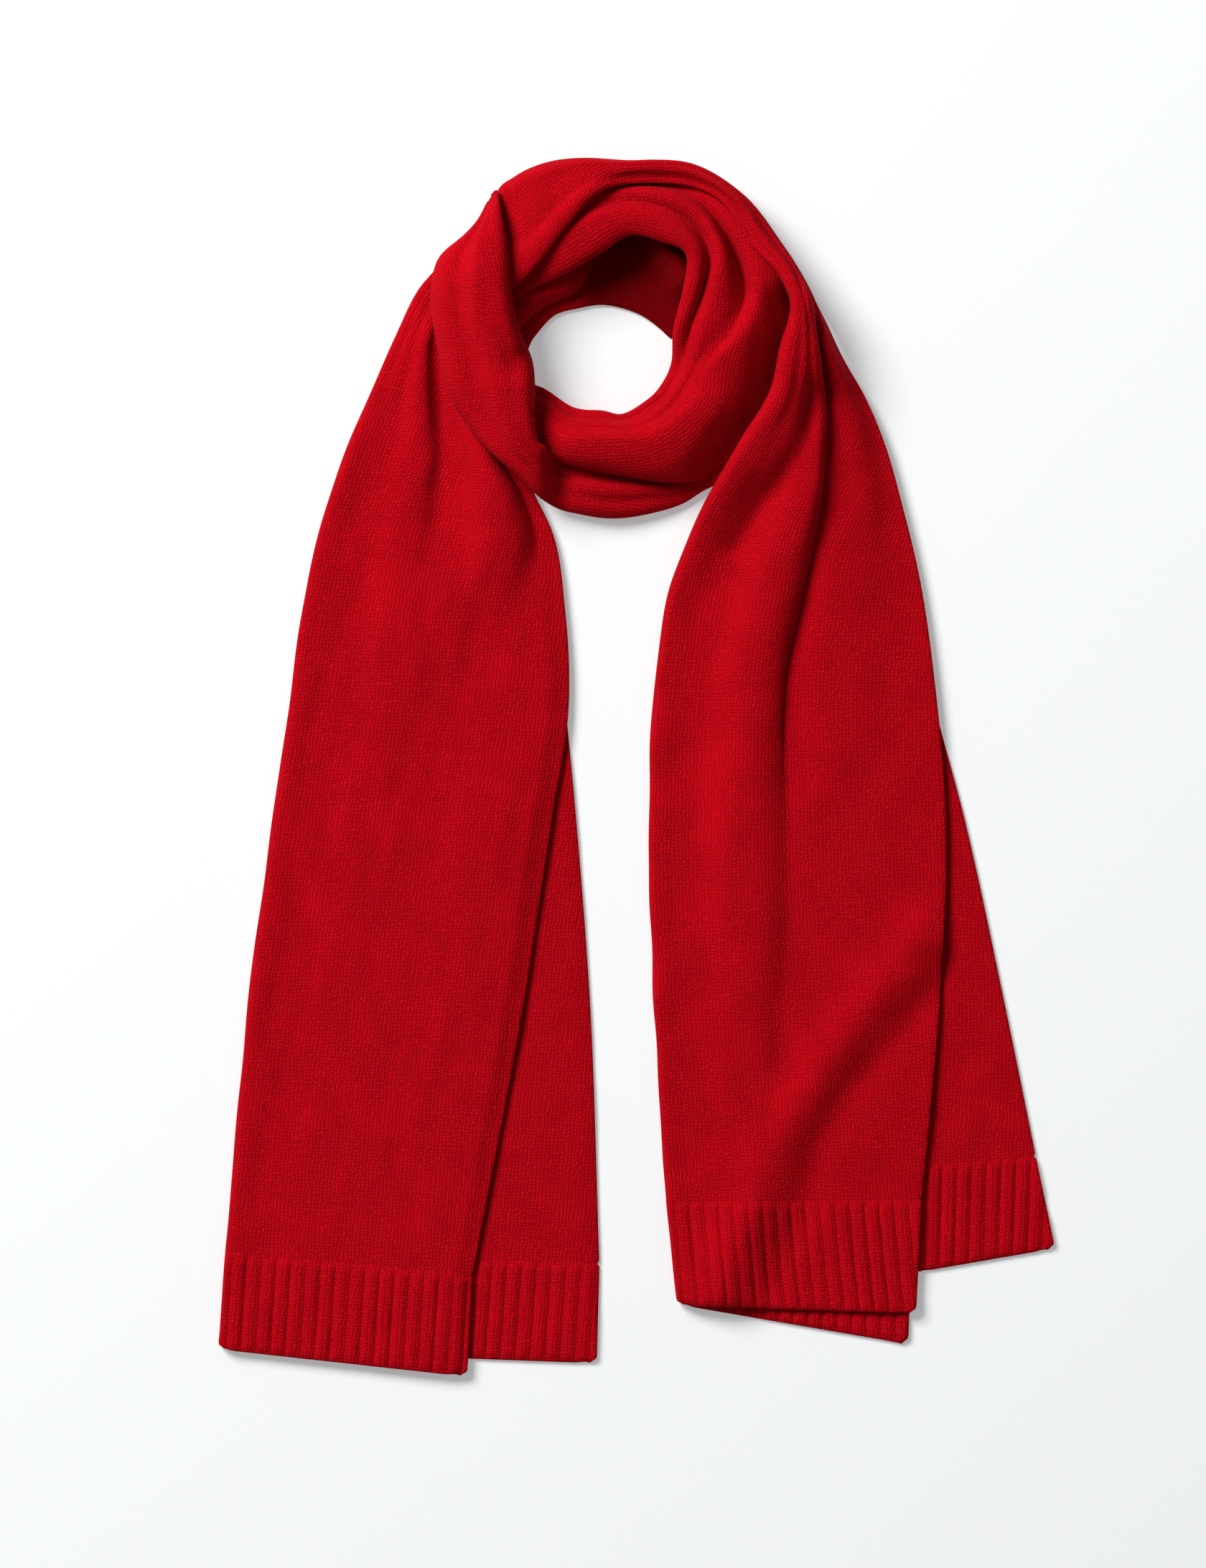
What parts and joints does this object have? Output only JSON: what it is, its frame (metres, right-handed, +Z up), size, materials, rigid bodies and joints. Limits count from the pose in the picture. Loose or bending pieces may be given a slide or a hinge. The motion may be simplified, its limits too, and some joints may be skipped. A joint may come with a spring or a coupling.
{
  "type": "knit scarf",
  "caption": "Plain knit scarf laid flat, wound into a gathered loop round a neck opening, its tails folded lengthwise side by side and ending in ribbed welts.",
  "frame": {"origin": "middle of the scarf's outline, on the surface that it lies on", "axes": "+Y towards the loop, along the tails; +X to the right as seen from above; +Z up from the surface"},
  "size_m": [0.4668, 0.6782, 0.0411],
  "materials": {
    "knit_body": "soft matt knitted wool",
    "knit_welt": "soft matt rib-knitted wool"
  },
  "bodies": {
    "root": {"left_tail": "knit_body", "left_welt": "knit_welt", "first_wrap": "knit_body", "left_turn": "knit_body", "second_wrap": "knit_body", "right_tail_back": "knit_body", "right_welt": "knit_welt", "right_back_welt": "knit_welt", "hidden_layers": "knit_body"}
  },
  "joints": []
}
